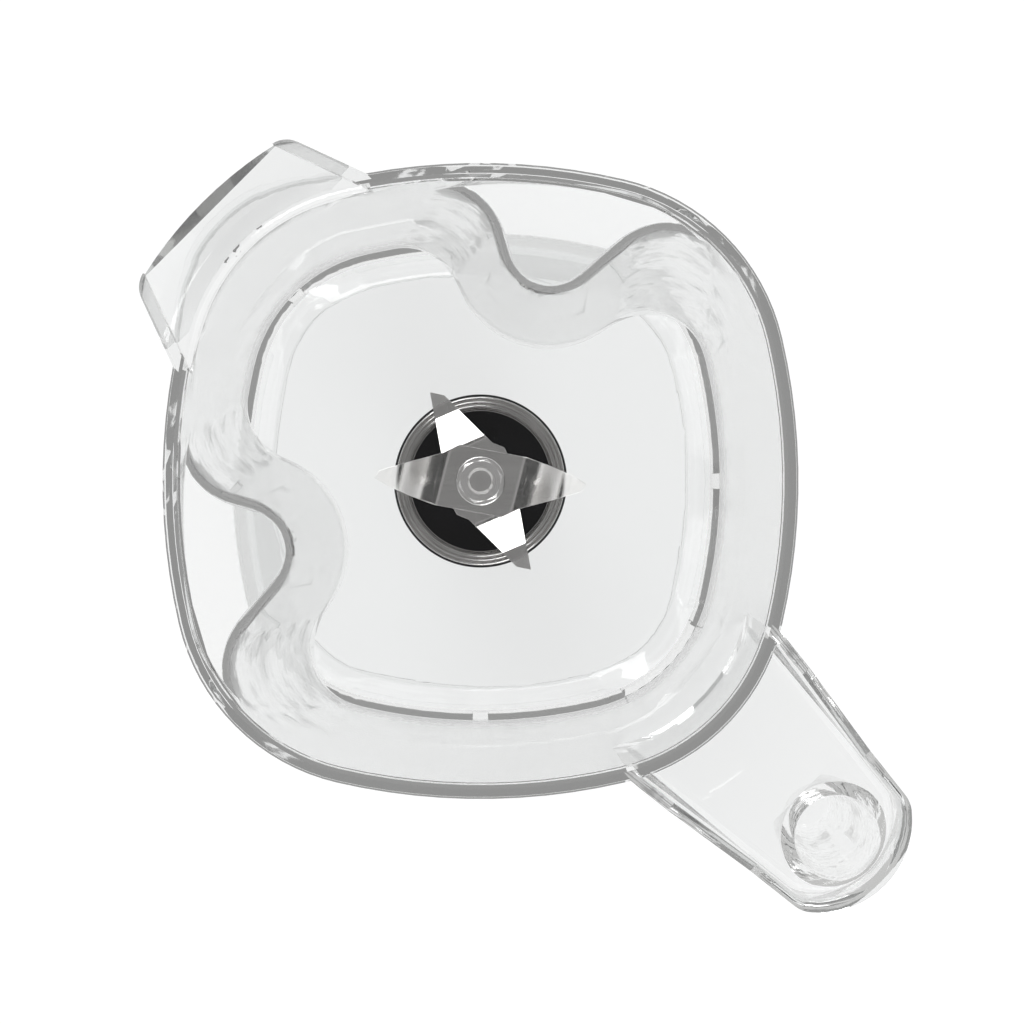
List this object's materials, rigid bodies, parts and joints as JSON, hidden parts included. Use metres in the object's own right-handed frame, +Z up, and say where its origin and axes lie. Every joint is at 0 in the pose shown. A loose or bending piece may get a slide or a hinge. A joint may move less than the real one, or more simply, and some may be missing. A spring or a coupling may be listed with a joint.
{
  "type": "blender jar",
  "caption": "Clear rounded-square blender jar with fluted walls, corner spout, hollow cantilever handle and a bearing-mounted crossed-blade unit clamped in its floor.",
  "frame": {"origin": "on the blade axis, in the plane the skirt stands on", "axes": "+Z up along the blade axis, +X towards the handle, the spout towards -X"},
  "size_m": [0.2577, 0.1816, 0.212],
  "materials": {
    "clear_plastic": "clear, polished moulding",
    "stainless_steel": "brushed and ground stainless steel",
    "bearing_steel": "ground",
    "black_rubber": "matt",
    "black_plastic": "satin black"
  },
  "bodies": {
    "jar_body": {"jar": "clear_plastic", "seat_gasket": "black_rubber", "bearing_housing": "stainless_steel", "clamp_washer": "stainless_steel", "clamp_nut": "stainless_steel", "cover_disc": "black_plastic", "shaft_seal": "black_rubber", "bearing_spacer": "bearing_steel", "bearing_circlip": "bearing_steel", "upper_outer_race": "bearing_steel", "lower_outer_race": "bearing_steel"},
    "blade_rotor": {"drive_shaft": "stainless_steel", "inner_spacer": "bearing_steel", "shaft_sleeve": "stainless_steel", "lower_blade": "stainless_steel", "upper_blade": "stainless_steel", "blade_washer": "stainless_steel", "blade_nut": "stainless_steel", "upper_inner_race": "bearing_steel", "lower_inner_race": "bearing_steel"},
    "upper_ball_train": {"upper_balls": "bearing_steel", "upper_cage": "black_plastic"},
    "lower_ball_train": {"lower_balls": "bearing_steel", "lower_cage": "black_plastic"}
  },
  "joints": [
    {"name": "blade_spin", "type": "hinge", "parent": "jar_body", "child": "blade_rotor", "pos_m": [0, 0, 0.04], "axis": [0, 0, 1], "continuous": true},
    {"name": "upper_ball_spin", "type": "hinge", "parent": "jar_body", "child": "upper_ball_train", "pos_m": [0, 0, 0.026], "axis": [0, 0, 1], "continuous": true},
    {"name": "lower_ball_spin", "type": "hinge", "parent": "jar_body", "child": "lower_ball_train", "pos_m": [0, 0, 0.017], "axis": [0, 0, 1], "continuous": true}
  ],
  "couplings": [
    {"joint": "upper_ball_spin", "follows": "blade_spin", "ratio": 0.36767},
    {"joint": "lower_ball_spin", "follows": "blade_spin", "ratio": 0.36767}
  ]
}
